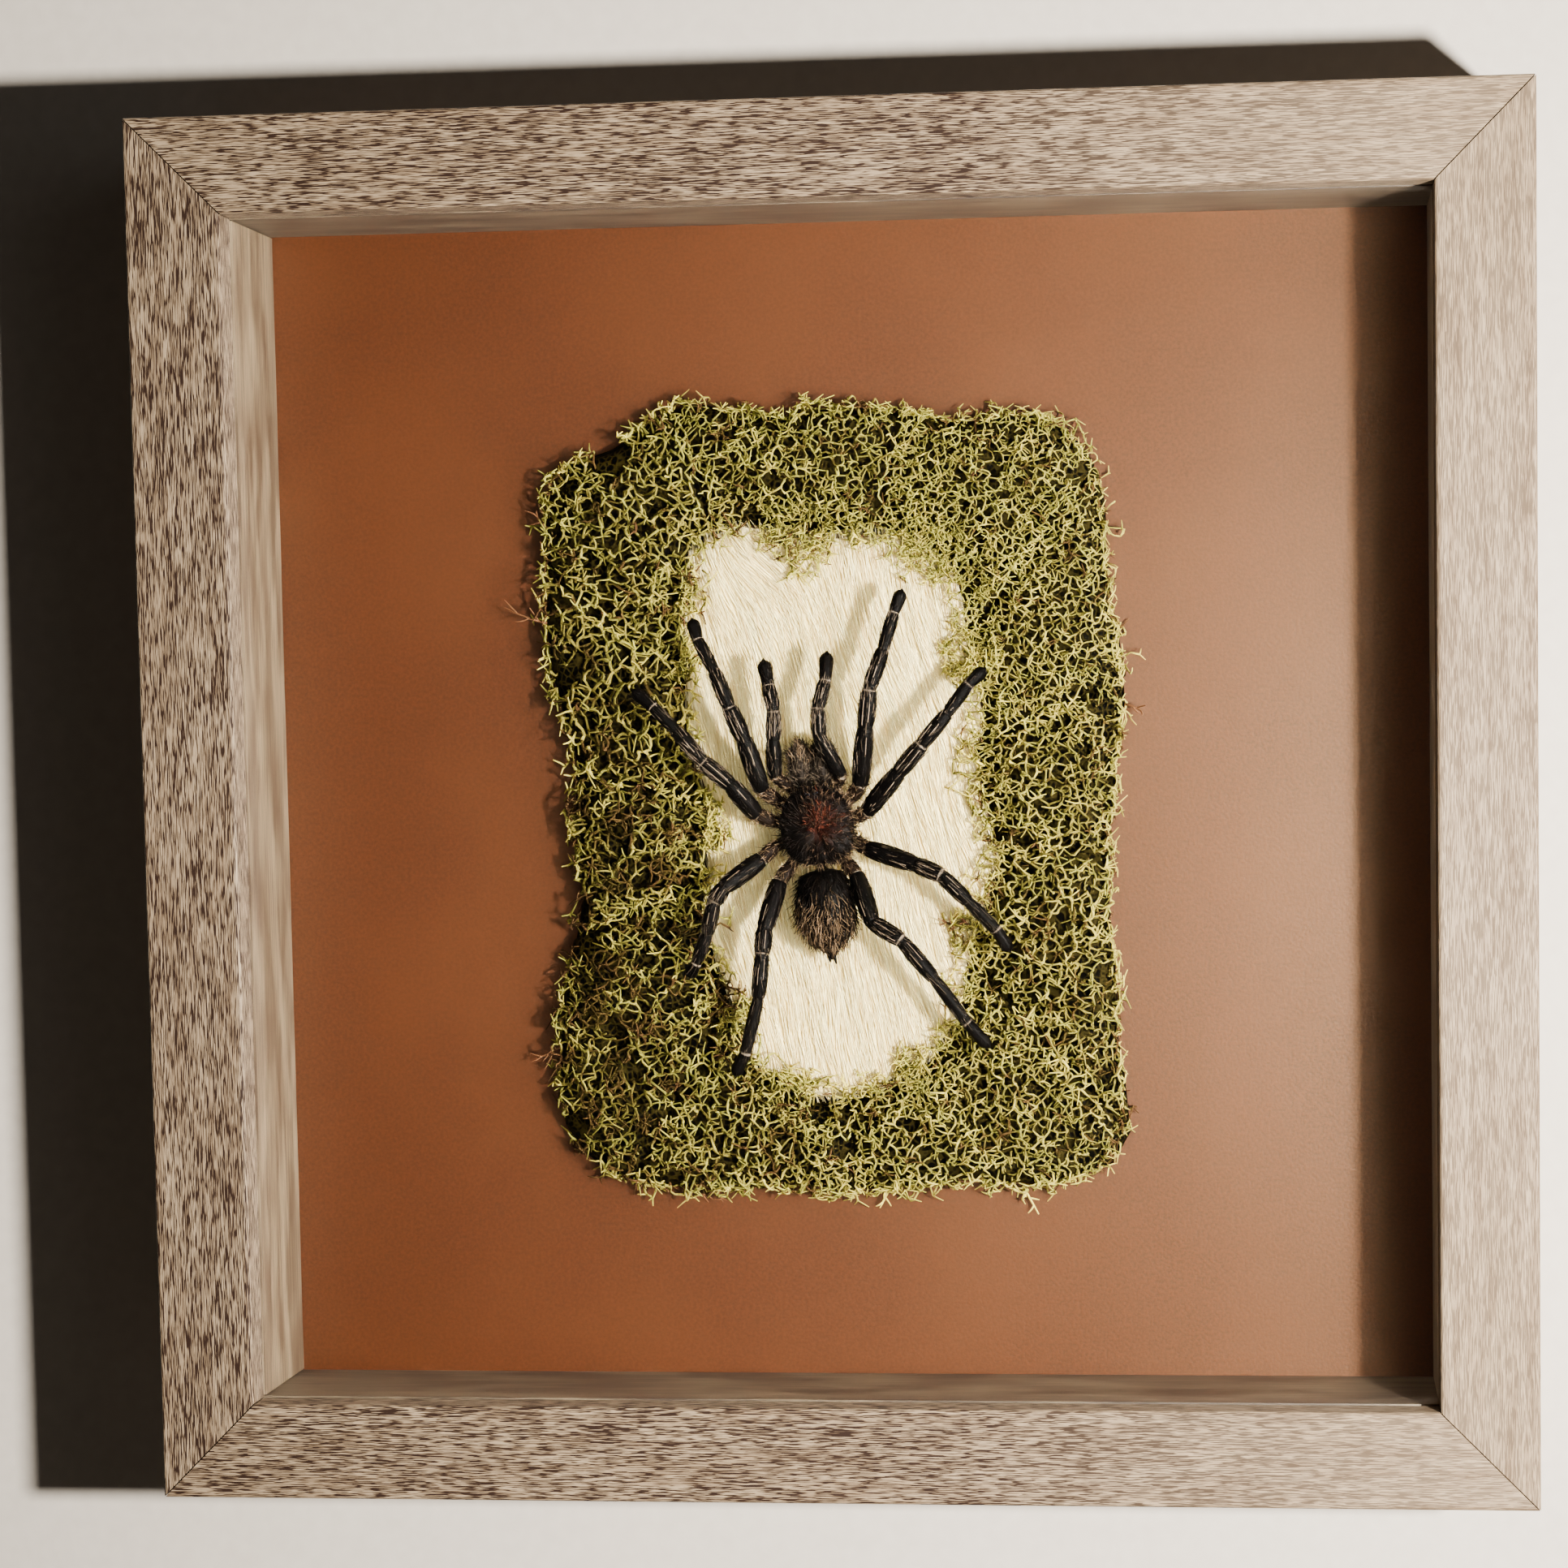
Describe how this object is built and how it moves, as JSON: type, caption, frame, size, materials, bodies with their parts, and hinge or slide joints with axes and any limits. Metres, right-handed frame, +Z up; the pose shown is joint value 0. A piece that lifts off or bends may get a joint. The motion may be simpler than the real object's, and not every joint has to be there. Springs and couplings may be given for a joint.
{
  "type": "framed tarantula specimen",
  "caption": "Dried tarantula on a cream fur pad inside a wreath of reindeer moss, in a square glazed wood-grain shadow box that hangs on a wall.",
  "frame": {"origin": "the middle notch of the sawtooth hanger, where the wall's nail bears, half way through the strip's thickness", "axes": "+Z up the wall, +Y into the wall, -Y out of the glazed front, +X to the right as seen from the front"},
  "size_m": [0.3556, 0.0541, 0.3556],
  "materials": {
    "woodgrain_wrap": "grey-beige wood-grain wrap with short dark pores, satin",
    "clear_glass": "clear picture glass",
    "board_paper": "rust-brown paper face with fine fibres, matte",
    "steel": "plain zinc-plated steel",
    "fur": "cream straight fur lying flat",
    "moss": "dry yellow-green branching reindeer moss",
    "spider_skin": "near-black dried skin with short dark hair and pale joint rings",
    "spider_hair": "brown-grey long hair over dark skin"
  },
  "bodies": {
    "root": {"rail_top": "woodgrain_wrap", "rail_bottom": "woodgrain_wrap", "rail_left": "woodgrain_wrap", "rail_right": "woodgrain_wrap", "spacer_top": "woodgrain_wrap", "spacer_bottom": "woodgrain_wrap", "spacer_left": "woodgrain_wrap", "spacer_right": "woodgrain_wrap", "glass_pane": "clear_glass", "backing_board": "board_paper", "board_tab_top_1": "steel", "board_tab_top_2": "steel", "board_tab_bottom_1": "steel", "board_tab_bottom_2": "steel", "board_tab_left_1": "steel", "board_tab_left_2": "steel", "board_tab_right_1": "steel", "board_tab_right_2": "steel", "sawtooth_hanger": "steel", "brad_left": "steel", "brad_right": "steel", "fur_pad": "fur", "moss_clump_01": "moss", "moss_clump_02": "moss", "moss_clump_03": "moss", "moss_clump_04": "moss", "moss_clump_05": "moss", "moss_clump_06": "moss", "moss_clump_07": "moss", "moss_clump_08": "moss", "moss_clump_09": "moss", "moss_clump_10": "moss", "moss_clump_11": "moss", "prosoma": "spider_skin", "abdomen": "spider_hair", "chelicera_left": "spider_hair", "chelicera_right": "spider_hair", "palp_left": "spider_skin", "palp_right": "spider_skin", "leg_left_1": "spider_skin", "leg_left_2": "spider_skin", "leg_left_3": "spider_skin", "leg_left_4": "spider_skin", "leg_right_1": "spider_skin", "leg_right_2": "spider_skin", "leg_right_3": "spider_skin", "leg_right_4": "spider_skin"}
  },
  "joints": []
}
